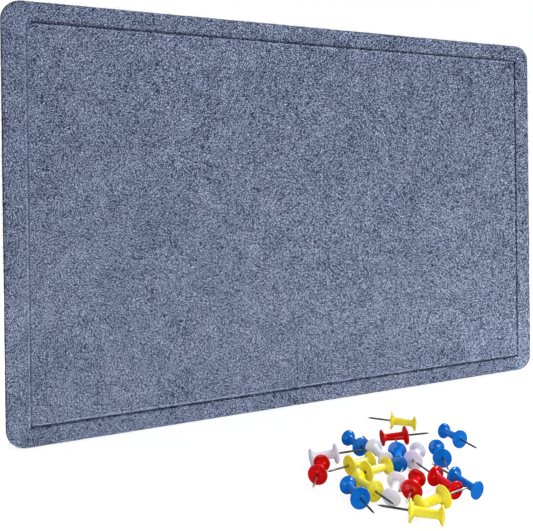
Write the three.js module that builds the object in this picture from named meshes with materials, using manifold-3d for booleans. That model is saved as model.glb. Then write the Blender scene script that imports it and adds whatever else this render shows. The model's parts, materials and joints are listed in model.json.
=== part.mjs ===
// Felt bulletin board, stood upright on its bottom edge, with its push pins lying loose in front of it.
// Millimetres, +Z up. The origin is the centre of the board's bottom face: +X runs along the board
// to the right, and +Y from its pinning face to its back.

import * as THREE from "three";
import { mergeVertices } from "three/addons/utils/BufferGeometryUtils.js";
import Module from "manifold-3d";

// Felt panel
const boardWidth = 300;
const boardHeight = 200;
const boardThickness = 12;
const cornerRadius = 9;
const edgeRounding = 0.8;

// Border groove in the pinning face. The insets run from the panel's edge to the groove's middle line.
const grooveSideInset = 10.5;
const grooveEndInset = 8.8;
const grooveWidth = 2.2;
const grooveFloorWidth = 0.5;
const grooveDepth = 1.6;
const cutOverrun = 1;

// Foam mounting pads on the back, each under a paper liner that overhangs it at one side.
// The insets run from the panel's edge to the pad's near side.
const padWidth = 25;
const padThickness = 1;
const padInset = 16;
const linerThickness = 0.2;
const linerTab = 5;

// Plastic head of a push pin. Lengths run along its axis, from the top of the cap to the boss.
// The grip tapers from the flange to the cap.
const capRadius = 3.4;
const capDome = 0.4;
const capRim = 0.7;
const capFlare = 1.4;
const gripCapRadius = 1.45;
const gripFlangeRadius = 1.7;
const gripLength = 7.5;
const flangeFlare = 1.1;
const flangeRim = 0.8;
const flangeRadius = 3.9;
const bossRadius = 1.3;
const bossHeight = 0.3;

// Steel needle of a push pin, seated in a blind bore of the head
const needleRadius = 0.4;
const needleReach = 10.8;
const needleTaper = 2.2;
const needleSeat = 6;
const seatClearance = 0.3;

// Heap of loose pins in front of the board. The gap runs from the pinning face to the heap.
const heapWidth = 80;
const heapDepth = 80;
const heapGap = 40.5;
const pinClearance = 0.5;
const spreadTolerance = 0.001;

// Counts of faces and steps
const cornerSteps = 3;
const roundingSteps = 2;
const headSides = 12;
const needleSides = 8;
const domeSteps = 2;
const flareSteps = 3;
const homingPasses = 300;
const spreadPasses = 3000;

// How hollow a head's cones are: 1 is a straight cone
const coneHollowness = 1.6;

// Shares of the size that each follows
const topRimShare = 0.94;
const coneShare = 0.5;
const middleShare = 0.5;
const discStepShare = 0.8;
const givingWayShare = 0.51;
const homingShare = 0.1;

// Where each pin lies, by its flange, as shares of the heap's width from the left and of its depth
// from the back, and the heading of its needle in degrees anticlockwise from +X, seen from above
const pinPlaceShares = [
  { colour: "yellow", across: 0.75, forward: 0.05, heading: 145 },
  { colour: "red", across: 0.7, forward: 0.25, heading: -15 },
  { colour: "blue", across: 0.95, forward: 0.4, heading: -90 },
  { colour: "blue", across: 0.7, forward: 0.55, heading: -115 },
  { colour: "blue", across: 0.4, forward: 0.3, heading: -90 },
  { colour: "white", across: 0.25, forward: 0.3, heading: -10 },
  { colour: "red", across: 0.1, forward: 0.45, heading: -125 },
  { colour: "white", across: 0.45, forward: 0.35, heading: 85 },
  { colour: "blue", across: 0.55, forward: 0.4, heading: 60 },
  { colour: "white", across: 0.55, forward: 0.55, heading: -135 },
  { colour: "yellow", across: 0.3, forward: 0.45, heading: -170 },
  { colour: "yellow", across: 0.3, forward: 0.55, heading: -170 },
  { colour: "blue", across: 0.15, forward: 0.7, heading: -95 },
  { colour: "yellow", across: 0.25, forward: 0.7, heading: -85 },
  { colour: "white", across: 0.35, forward: 0.7, heading: 45 },
  { colour: "red", across: 0.4, forward: 0.75, heading: -135 },
  { colour: "red", across: 0.55, forward: 0.7, heading: 95 },
  { colour: "blue", across: 0.6, forward: 0.7, heading: 100 },
  { colour: "yellow", across: 0.5, forward: 0.8, heading: 5 },
  { colour: "yellow", across: 0.3, forward: 0.85, heading: 145 },
];

const feltFinish = { color: 0x6f7a8c, roughness: 1, metalness: 0 };
const foamFinish = { color: 0xe9e9e4, roughness: 0.9, metalness: 0 };
const linerFinish = { color: 0xc9b48a, roughness: 0.7, metalness: 0 };
const steelFinish = { color: 0x9a9a98, roughness: 0.3, metalness: 1 };
const headFinishes = {
  yellow: { color: 0xf7e017, roughness: 0.25, metalness: 0 },
  red: { color: 0xd8000c, roughness: 0.25, metalness: 0 },
  blue: { color: 0x0a5fd6, roughness: 0.25, metalness: 0 },
  white: { color: 0xe6e2f4, roughness: 0.25, metalness: 0 },
};

// Stations along a pin's axis, measured from the widest part of the flange
const flangeStation = capDome + capRim + capFlare + gripLength + flangeFlare;
const capRimStation = capDome - flangeStation;
const bossStation = flangeRim + bossHeight;
const tipStation = bossStation + needleReach;
const seatStation = bossStation - needleSeat;

const wasm = await Module();
wasm.setup();

function solidOf(geometry) {
  const bare = geometry.clone();
  bare.deleteAttribute("normal");
  bare.deleteAttribute("uv");
  const merged = mergeVertices(bare);
  const vertProperties = new Float32Array(merged.attributes.position.array);
  const triVerts = new Uint32Array(merged.index.array);
  return new wasm.Manifold(new wasm.Mesh({ numProp: 3, vertProperties, triVerts }));
}

function geometryOf(solid) {
  const mesh = solid.getMesh();
  const geometry = new THREE.BufferGeometry();
  geometry.setAttribute("position", new THREE.BufferAttribute(mesh.vertProperties, mesh.numProp));
  geometry.setIndex(new THREE.BufferAttribute(mesh.triVerts, 1));
  geometry.computeVertexNormals();
  return geometry;
}

function namedMesh(name, geometry, finish) {
  const mesh = new THREE.Mesh(geometry, new THREE.MeshStandardMaterial(finish));
  mesh.name = name;
  return mesh;
}

// Rectangle with round corners, centred on the origin
function roundedRectangle(width, height, radius) {
  const right = width / 2 - radius;
  const top = height / 2 - radius;
  const shape = new THREE.Shape();
  shape.absarc(right, top, radius, 0, Math.PI / 2);
  shape.absarc(-right, top, radius, Math.PI / 2, Math.PI);
  shape.absarc(-right, -top, radius, Math.PI, Math.PI * 1.5);
  shape.absarc(right, -top, radius, Math.PI * 1.5, Math.PI * 2);
  return shape;
}

// Panel lying face up, its middle plane at height 0
function blankPanel() {
  const outline = roundedRectangle(
    boardWidth - edgeRounding * 2,
    boardHeight - edgeRounding * 2,
    cornerRadius - edgeRounding,
  );
  const straightThickness = boardThickness - edgeRounding * 2;
  const geometry = new THREE.ExtrudeGeometry(outline, {
    depth: straightThickness,
    bevelThickness: edgeRounding,
    bevelSize: edgeRounding,
    bevelSegments: roundingSteps,
    curveSegments: cornerSteps,
  });
  return geometry.translate(0, 0, -straightThickness / 2);
}

// Closed rectangular ring with mitred corners. Each section point gives how far it lies outside
// the ring's middle line and how high it is. The points run from the inner side of the section's foot
// to the outer side, and up from there.
function mitredRing(halfWidth, halfHeight, section) {
  const corners = [
    [1, 1],
    [-1, 1],
    [-1, -1],
    [1, -1],
  ];
  const positions = [];
  const indices = [];
  corners.forEach(([right, up], corner) => {
    section.forEach(({ outward, height }) => {
      positions.push(right * (halfWidth + outward), up * (halfHeight + outward), height);
    });
    const here = corner * section.length;
    const next = ((corner + 1) % corners.length) * section.length;
    section.forEach((_, point) => {
      const following = (point + 1) % section.length;
      indices.push(here + point, next + point, here + following);
      indices.push(next + point, next + following, here + following);
    });
  });
  const geometry = new THREE.BufferGeometry();
  geometry.setAttribute("position", new THREE.Float32BufferAttribute(positions, 3));
  geometry.setIndex(indices);
  return geometry;
}

// Cutter of the border groove: a V with a narrow floor, and straight above the pinning face
function grooveCutter() {
  const face = boardThickness / 2;
  const section = [
    { outward: -grooveFloorWidth / 2, height: face - grooveDepth },
    { outward: grooveFloorWidth / 2, height: face - grooveDepth },
    { outward: grooveWidth / 2, height: face },
    { outward: grooveWidth / 2, height: face + cutOverrun },
    { outward: -grooveWidth / 2, height: face + cutOverrun },
    { outward: -grooveWidth / 2, height: face },
  ];
  return mitredRing(boardWidth / 2 - grooveSideInset, boardHeight / 2 - grooveEndInset, section);
}

// The grooved panel, turned upright so that its face looks along -Y and its bottom edge is at height 0
function feltPanel() {
  const grooved = solidOf(blankPanel()).subtract(solidOf(grooveCutter()));
  const geometry = geometryOf(grooved).rotateX(Math.PI / 2);
  return namedMesh("felt_panel", geometry.translate(0, 0, boardHeight / 2), feltFinish);
}

// One foam pad and its liner, in the corner that the signs name
function mountingPad(label, right, up) {
  const x = right * (boardWidth / 2 - padInset - padWidth / 2);
  const z = boardHeight / 2 + up * (boardHeight / 2 - padInset - padWidth / 2);
  const pad = namedMesh(
    `mounting_pad_${label}`,
    new THREE.BoxGeometry(padWidth, padThickness, padWidth),
    foamFinish,
  );
  pad.position.set(x, boardThickness / 2 + padThickness / 2, z);
  const liner = namedMesh(
    `release_liner_${label}`,
    new THREE.BoxGeometry(padWidth + linerTab, linerThickness, padWidth),
    linerFinish,
  );
  const linerMiddle = boardThickness / 2 + padThickness + linerThickness / 2;
  liner.position.set(x - (right * linerTab) / 2, linerMiddle, z);
  return [pad, liner];
}

// Radius of the hollow cone between a disc and the grip, at a share of the way from disc to grip
function coneRadius(discRadius, gripRadius, wayShare) {
  return gripRadius + (discRadius - gripRadius) * (1 - wayShare) ** coneHollowness;
}

// Points of that cone from the disc to the grip, the first one left out
function conePoints(disc, grip) {
  const points = [];
  for (let step = 1; step <= flareSteps; step += 1) {
    const wayShare = step / flareSteps;
    const station = disc.station + (grip.station - disc.station) * wayShare;
    points.push(new THREE.Vector2(coneRadius(disc.radius, grip.radius, wayShare), station));
  }
  return points;
}

// Outline of a head as radius and station, from the middle of the cap to the end of the blind bore
function headProfile() {
  const points = [];
  const topRadius = capRadius * topRimShare;
  for (let step = 0; step <= domeSteps; step += 1) {
    const reach = step / domeSteps;
    points.push(new THREE.Vector2(topRadius * reach, capRimStation - capDome * (1 - reach * reach)));
  }
  const capUnderside = capRimStation + capRim;
  const gripTop = capUnderside + capFlare;
  const gripBottom = gripTop + gripLength;
  points.push(new THREE.Vector2(capRadius, capRimStation + capRim / 2));
  points.push(new THREE.Vector2(topRadius, capUnderside));
  const capEdge = { radius: topRadius, station: capUnderside };
  points.push(...conePoints(capEdge, { radius: gripCapRadius, station: gripTop }));
  const flangeTop = flangeRadius * topRimShare;
  const flangeEdge = { radius: flangeTop, station: 0 };
  points.push(...conePoints(flangeEdge, { radius: gripFlangeRadius, station: gripBottom }).reverse());
  points.push(new THREE.Vector2(flangeTop, 0));
  points.push(new THREE.Vector2(flangeRadius, flangeRim / 2));
  points.push(new THREE.Vector2(flangeTop, flangeRim));
  points.push(new THREE.Vector2(bossRadius, flangeRim));
  points.push(new THREE.Vector2(bossRadius, bossStation));
  const boreRadius = needleRadius + seatClearance;
  const boreEnd = seatStation - seatClearance;
  points.push(new THREE.Vector2(boreRadius, bossStation));
  points.push(new THREE.Vector2(boreRadius, boreEnd));
  points.push(new THREE.Vector2(0, boreEnd));
  return points;
}

function needleProfile() {
  return [
    new THREE.Vector2(0, seatStation),
    new THREE.Vector2(needleRadius, seatStation),
    new THREE.Vector2(needleRadius, tipStation - needleTaper),
    new THREE.Vector2(0, tipStation),
  ];
}

// Turned body whose axis lies along +X, its stations growing towards +X
function turnedBody(profile, sides) {
  return new THREE.LatheGeometry(profile, sides).rotateZ(-Math.PI / 2);
}

// Discs that cover the outline of a lying pin seen from above, by their place along and across its axis
function planDiscs() {
  const discs = [];
  const acrossRow = (from, to, reach) => {
    const radius = (to - from) / 2;
    const count = Math.ceil((reach - radius) / (radius * discStepShare));
    for (let step = -count; step <= count; step += 1) {
      discs.push({ along: (from + to) / 2, across: ((reach - radius) * step) / count, radius });
    }
  };
  const alongRun = (from, to, radius) => {
    const count = Math.ceil((to - from) / (radius * discStepShare));
    for (let step = 0; step <= count; step += 1) {
      discs.push({ along: from + ((to - from) * step) / count, across: 0, radius });
    }
  };
  const capUnderside = capRimStation + capRim;
  const capConeMiddle = capUnderside + capFlare * coneShare;
  const flangeConeMiddle = -flangeFlare * coneShare;
  const capConeRadius = coneRadius(capRadius, gripCapRadius, coneShare);
  const flangeConeRadius = coneRadius(flangeRadius, gripFlangeRadius, coneShare);
  acrossRow(capRimStation - capDome, capConeMiddle, capRadius);
  acrossRow(flangeConeMiddle, flangeRim, flangeRadius);
  discs.push({ along: capConeMiddle, across: 0, radius: capConeRadius });
  discs.push({ along: flangeConeMiddle, across: 0, radius: flangeConeRadius });
  alongRun(capConeMiddle, flangeConeMiddle, gripFlangeRadius);
  alongRun(flangeRim, bossStation, bossRadius);
  alongRun(bossStation, tipStation, needleRadius);
  return discs;
}

// Deepest overlap of two pins' discs, clearance included, and the direction from the first to the second
function deepestOverlap(discsA, discsB) {
  const deepest = { overlap: 0, x: 0, y: 0 };
  for (const a of discsA) {
    for (const b of discsB) {
      const distance = Math.hypot(b.x - a.x, b.y - a.y);
      const overlap = a.radius + b.radius + pinClearance - distance;
      if (overlap > deepest.overlap && distance > 0) {
        deepest.overlap = overlap;
        deepest.x = (b.x - a.x) / distance;
        deepest.y = (b.y - a.y) / distance;
      }
    }
  }
  return deepest;
}

function movePin(pin, x, y) {
  pin.x += x;
  pin.y += y;
  for (const disc of pin.discs) {
    disc.x += x;
    disc.y += y;
  }
}

// Distance between the middles of two pins, seen from above
function middleDistance(a, b) {
  const middleStation = (tipStation + capRimStation - capDome) / 2;
  const x = b.x - a.x + middleStation * (Math.cos(b.heading) - Math.cos(a.heading));
  const y = b.y - a.y + middleStation * (Math.sin(b.heading) - Math.sin(a.heading));
  return Math.hypot(x, y);
}

// Pins of the heap as their flange's place and heading, pushed apart until none lies over another,
// so that each of them can be lifted straight up. At first each is also pulled back to its own place.
function spreadPins() {
  const outline = planDiscs();
  const pins = pinPlaceShares.map((place) => {
    const heading = THREE.MathUtils.degToRad(place.heading);
    const x = (place.across - middleShare) * heapWidth;
    const y = -boardThickness / 2 - heapGap - place.forward * heapDepth;
    const discs = outline.map(({ along, across, radius }) => ({
      x: x + along * Math.cos(heading) - across * Math.sin(heading),
      y: y + along * Math.sin(heading) + across * Math.cos(heading),
      radius,
    }));
    return { colour: place.colour, x, y, home: { x, y }, heading, discs };
  });
  const halfLength = (tipStation - capRimStation + capDome) / 2;
  const contactDistance = Math.hypot(halfLength, flangeRadius) * 2 + pinClearance;
  for (let pass = 0; pass < spreadPasses; pass += 1) {
    const pull = homingShare * Math.max(0, 1 - pass / homingPasses);
    for (const pin of pins) {
      movePin(pin, (pin.home.x - pin.x) * pull, (pin.home.y - pin.y) * pull);
    }
    let widest = 0;
    pins.forEach((a, index) => {
      for (const b of pins.slice(index + 1)) {
        if (middleDistance(a, b) < contactDistance) {
          const { overlap, x, y } = deepestOverlap(a.discs, b.discs);
          const step = overlap * givingWayShare;
          movePin(a, -x * step, -y * step);
          movePin(b, x * step, y * step);
          widest = Math.max(widest, overlap);
        }
      }
    });
    if (pull === 0 && widest < spreadTolerance) {
      break;
    }
  }
  return pins;
}

// One pin lying on the rims of its cap and flange, which tilts its needle up a little
function pushPin(number, { colour, x, y, heading }) {
  const rimRun = flangeRim / 2 - (capRimStation + capRim / 2);
  const tilt = Math.atan((flangeRadius - capRadius) / rimRun);
  const pin = new THREE.Group();
  const label = String(number).padStart(2, "0");
  const head = turnedBody(headProfile(), headSides);
  const needle = turnedBody(needleProfile(), needleSides);
  pin.add(namedMesh(`pin_${label}_head`, head, headFinishes[colour]));
  pin.add(namedMesh(`pin_${label}_needle`, needle, steelFinish));
  const axisHeight = flangeRadius * Math.cos(tilt) - (flangeRim / 2) * Math.sin(tilt);
  pin.position.set(x, y, axisHeight);
  pin.rotation.set(0, -tilt, heading, "ZYX");
  return pin;
}

const board = new THREE.Group();
board.add(feltPanel());
board.add(...mountingPad("top_left", -1, 1));
board.add(...mountingPad("top_right", 1, 1));
board.add(...mountingPad("bottom_left", -1, -1));
board.add(...mountingPad("bottom_right", 1, -1));
spreadPins().forEach((place, index) => board.add(pushPin(index + 1, place)));

export default board;
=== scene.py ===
"""Felt bulletin board and its loose push pins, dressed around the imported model.

The board is one thick panel of needle-punched heather felt that stands on its bottom edge. A groove
with mitred corners runs round its face, and foam pads under paper liners are on its back. Twenty
push pins lie in front of it. Lengths are in metres, angles in degrees, and the axes are the model's
own: X to the right, Y from the face to the back, Z up.
"""

import json
import logging
import math
from collections.abc import Sequence
from dataclasses import dataclass, field
from enum import Enum

import bpy
import numpy as np
from mathutils import Matrix, Vector

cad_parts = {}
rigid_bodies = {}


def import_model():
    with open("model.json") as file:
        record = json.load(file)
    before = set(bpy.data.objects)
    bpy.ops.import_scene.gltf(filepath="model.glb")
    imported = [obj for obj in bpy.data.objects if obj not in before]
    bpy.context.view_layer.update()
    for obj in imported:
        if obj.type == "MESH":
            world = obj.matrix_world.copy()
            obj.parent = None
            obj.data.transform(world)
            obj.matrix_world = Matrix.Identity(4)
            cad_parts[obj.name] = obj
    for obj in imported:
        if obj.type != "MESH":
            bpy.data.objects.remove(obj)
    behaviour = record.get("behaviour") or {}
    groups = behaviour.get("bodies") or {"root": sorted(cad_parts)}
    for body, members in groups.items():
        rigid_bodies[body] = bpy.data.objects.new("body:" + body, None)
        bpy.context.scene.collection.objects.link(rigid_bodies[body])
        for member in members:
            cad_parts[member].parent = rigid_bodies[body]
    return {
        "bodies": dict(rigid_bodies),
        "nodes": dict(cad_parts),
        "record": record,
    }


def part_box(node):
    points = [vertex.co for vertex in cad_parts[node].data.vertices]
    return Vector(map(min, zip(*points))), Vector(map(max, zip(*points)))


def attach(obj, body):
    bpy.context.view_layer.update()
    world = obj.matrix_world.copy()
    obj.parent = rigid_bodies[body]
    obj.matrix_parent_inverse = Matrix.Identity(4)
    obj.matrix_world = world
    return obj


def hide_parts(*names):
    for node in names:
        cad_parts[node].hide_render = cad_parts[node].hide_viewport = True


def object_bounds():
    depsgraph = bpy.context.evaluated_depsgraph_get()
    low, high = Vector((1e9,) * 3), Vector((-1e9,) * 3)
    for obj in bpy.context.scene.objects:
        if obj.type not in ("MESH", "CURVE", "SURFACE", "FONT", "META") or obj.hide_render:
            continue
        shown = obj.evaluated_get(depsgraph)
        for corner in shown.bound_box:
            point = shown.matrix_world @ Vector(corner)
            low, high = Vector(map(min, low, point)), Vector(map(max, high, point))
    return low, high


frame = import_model()
MODEL_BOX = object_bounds()

LOG = logging.getLogger("felt_board")

# Starts of the random draws: of the loose fibres and the felt's lumps, of its pits and of the pads
SEED = 7
PIT_SEED = 8
PAD_SEED = 9

# Integer hash of a lattice corner
HASH_STRIDES = np.array([73856093, 19349663, 83492791], dtype=np.int64)
HASH_SEED_STRIDE = 2654435761
HASH_MIX = 1274126177
HASH_MASK = 0xFFFFFFFF
HASH_SHIFTS = (13, 16)

# Curve of a screen: the end and slope of its straight foot, and the offset and power of the rest
FOOT_END = 0.04045
FOOT_SLOPE = 12.92
CURVE_OFFSET = 0.055
CURVE_POWER = 2.4

# Smallest radius that an arc is worked out with
TINY = 1e-9

# Decimals that tell two points of a CAD mesh apart
ROUNDING = 7

# Where the shadow of a strand lies, in widths of a strand, and how dark it is
SHADOW_SHIFT = (0.0, 0.0, 0.6)
SHADOW_SHARE = 0.7

# Fine unevenness: how many times as wide as a grain its broad part is, and the detail of both parts
BROAD_TIMES = 9.0
BROAD_DETAIL = 3.0
FINE_DETAIL = 2.0

# How far one pin's own axes lie from the next one's on the patterns of its plastic and its steel
PATTERN_STEP = np.array([0.013, 0.017, 0.011])

# Outlines of the boss round a pin's needle and of the mouth of its bore. A row has a share of the
# boss's or the bore's radius and one of the boss's height.
BOSS_OUTLINE = np.array([(0.97, 0.2), (0.94, 0.7), (0.86, 0.95), (0.7, 1.0)])
MOUTH_OUTLINE = np.array([(1.2, 0.95), (1.0, 0.6)])

Socket = bpy.types.NodeSocket
SocketValue = float | Sequence[float] | Socket
Colour = tuple[float, float, float, float]


class Corner(Enum):
    """Corner of the board that a mounting pad sits in."""

    TOP_LEFT = "top_left"
    TOP_RIGHT = "top_right"
    BOTTOM_LEFT = "bottom_left"
    BOTTOM_RIGHT = "bottom_right"


class Facing(Enum):
    """Which way a broad face of the board looks, as the sign of its normal along Y."""

    FRONT = -1
    BACK = 1


class Side(Enum):
    """Side of the board, numbered in the order in which a ring of points walks round it."""

    BOTTOM = 0
    RIGHT = 1
    TOP = 2
    LEFT = 3


def linear(code: str) -> Colour:
    """Turns a colour written as hexadecimal screen values into scene values.

    A screen value s on the curve's foot is s / slope, and a higher one is
    ((s + offset) / (1 + offset))^power.

    Args:
        code: Six hexadecimal digits, two each for red, green and blue.

    Returns:
        Red, green, blue and an alpha of 1, in linear light.
    """
    screen = np.array([int(code[i : i + 2], 16) for i in (0, 2, 4)]) / 255
    curve = ((screen + CURVE_OFFSET) / (1 + CURVE_OFFSET)) ** CURVE_POWER
    light = np.where(screen <= FOOT_END, screen / FOOT_SLOPE, curve)
    return (*light.tolist(), 1.0)


def palette(*codes: str) -> list[Colour]:
    """Scene values of several colours, each written as hexadecimal screen values."""
    return [linear(code) for code in codes]


def between(start: float, end: float, share: np.ndarray) -> np.ndarray:
    """Values at shares of the way from the start to the end."""
    return start + (end - start) * share


def outline(radius: np.ndarray, station: np.ndarray) -> np.ndarray:
    """Radius and station of each point of an outline, one row each."""
    return np.stack([radius, station], axis=1)


def lattice_noise(points: np.ndarray, cell: float, seed: int) -> np.ndarray:
    """Smooth random field over space.

    Each corner of a cubic lattice gets a random value from an integer hash of its place. Between
    the corners the value is blended along each axis with the weight 3t^2 - 2t^3.

    Args:
        points: Places, one row each.
        cell: Width of a lattice cell.
        seed: Number that picks one field out of many.

    Returns:
        One value from -1 to 1 for each place.
    """
    scaled = points / cell
    base = np.floor(scaled).astype(np.int64)
    share = scaled - base
    share = share * share * (3 - 2 * share)
    total = np.zeros(len(points))
    early, late = HASH_SHIFTS
    for corner in np.ndindex(2, 2, 2):
        step = np.array(corner)
        mixed = np.bitwise_xor.reduce((base + step) * HASH_STRIDES, axis=1)
        mixed = (mixed ^ (seed * HASH_SEED_STRIDE)) & HASH_MASK
        mixed = ((mixed ^ (mixed >> early)) * HASH_MIX) & HASH_MASK
        value = (mixed ^ (mixed >> late)) / HASH_MASK * 2 - 1
        total += np.where(step == 1, share, 1 - share).prod(axis=1) * value
    return total


@dataclass
class Skin:
    """Closed surface under construction: its points, its faces and a tone for each point.

    A piece whose finish needs places of its own has those too, one for each point.
    """

    points: np.ndarray
    quads: np.ndarray
    triangles: np.ndarray
    tone: np.ndarray
    local: np.ndarray | None = None

    def normals(self) -> np.ndarray:
        """Unit normal at each point: the sum of the cross products of its faces' diagonals.

        A triangle counts as a face of four corners whose last two are one.

        Returns:
            The normals, one row each.
        """
        total = np.zeros_like(self.points)
        for faces in (self.quads, self.triangles):
            corners = self.points[faces]
            normal = np.cross(corners[:, 2] - corners[:, 0], corners[:, -1] - corners[:, 1])
            for column in faces.T:
                for axis in range(3):
                    total[:, axis] += np.bincount(column, normal[:, axis], minlength=len(total))
        length = np.linalg.norm(total, axis=1, keepdims=True)
        return total / np.maximum(length, TINY)

    def joined(self, other: "Skin") -> "Skin":
        """This surface and another one as a single piece.

        Args:
            other: The other surface.

        Returns:
            A surface with both closed parts and no places of its own.
        """
        start = len(self.points)
        return Skin(
            np.vstack([self.points, other.points]),
            np.vstack([self.quads, other.quads + start]),
            np.vstack([self.triangles, other.triangles + start]),
            np.concatenate([self.tone, other.tone]),
        )

    def piece(self, name: str, material: bpy.types.Material) -> bpy.types.Object:
        """Makes the surface an object that sits at the origin.

        Args:
            name: The piece's name.
            material: Its finish.

        Returns:
            The object, linked into the scene.
        """
        mesh = bpy.data.meshes.new(name)
        mesh.vertices.add(len(self.points))
        mesh.vertices.foreach_set("co", self.points.astype(np.float32).ravel())
        sides = np.concatenate([np.full(len(self.quads), 4), np.full(len(self.triangles), 3)])
        corners = np.concatenate([self.quads.ravel(), self.triangles.ravel()])
        mesh.loops.add(len(corners))
        mesh.loops.foreach_set("vertex_index", corners.astype(np.int32))
        mesh.polygons.add(len(sides))
        starts = np.concatenate([[0], np.cumsum(sides)[:-1]])
        mesh.polygons.foreach_set("loop_start", starts.astype(np.int32))
        mesh.polygons.foreach_set("use_smooth", np.ones(len(sides), dtype=bool))
        mesh.update(calc_edges=True)
        mesh.validate()
        tone = mesh.attributes.new("tone", "FLOAT", "POINT")
        tone.data.foreach_set("value", self.tone.astype(np.float32))
        if self.local is not None:
            local = mesh.attributes.new("local", "FLOAT_VECTOR", "POINT")
            local.data.foreach_set("vector", self.local.astype(np.float32).ravel())
        mesh.materials.append(material)
        made = bpy.data.objects.new(name, mesh)
        bpy.context.scene.collection.objects.link(made)
        return made


def revolved(profile: np.ndarray, turns: np.ndarray) -> Skin:
    """Carries an outline round the third axis.

    A point of the outline at radius r and station s, turned by the angle a, lies at
    (r cos a, r sin a, s). The outline starts and ends on the axis, where all its turned copies are
    one pole.

    Args:
        profile: Radius and station of each outline point, from the lower pole to the upper one.
        turns: Growing angles of the copies, in radians, over one full turn.

    Returns:
        The closed surface, whose local places are its points.
    """
    count = len(turns)
    radius = profile[1:-1, 0, None]
    station = np.repeat(profile[1:-1, 1, None], count, axis=1)
    ring = np.stack([radius * np.cos(turns), radius * np.sin(turns), station], axis=2)
    poles = np.array([[0, 0, profile[0, 1]], [0, 0, profile[-1, 1]]])
    points = np.vstack([ring.reshape(-1, 3), poles])
    here = np.arange(ring.shape[0] * count).reshape(ring.shape[0], count)
    following = np.roll(here, -1, axis=1)
    quads = np.stack([here[:-1], following[:-1], following[1:], here[1:]], axis=2).reshape(-1, 4)
    start, end = len(points) - 2, len(points) - 1
    first = np.stack([np.full(count, start), following[0], here[0]], axis=1)
    last = np.stack([np.full(count, end), here[-1], following[-1]], axis=1)
    return Skin(points, quads, np.vstack([first, last]), np.zeros(len(points)), points.copy())


@dataclass
class Section:
    """Stations of a slab's wall, from the edge of its front field to the edge of its back field.

    Each station is a rounded rectangle: how far it lies inside the slab's outline at the sides and
    at the ends, the radius of its corners, its depth along Y and its tone on each of its four
    sides.
    """

    side_inset: np.ndarray
    end_inset: np.ndarray
    radius: np.ndarray
    depth: np.ndarray
    tone: np.ndarray

    def followed_by(self, other: "Section") -> "Section":
        """This section with another one's stations after its own."""
        pairs = zip(vars(self).values(), vars(other).values())
        return Section(*[np.concatenate(pair) for pair in pairs])

    def mirrored(self, thickness: float) -> "Section":
        """The same stations in reverse order, as the back of a slab has them.

        Args:
            thickness: How thick the slab is.

        Returns:
            The stations.
        """
        back = Section(*[values[::-1] for values in vars(self).values()])
        back.depth = thickness - back.depth
        return back


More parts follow.
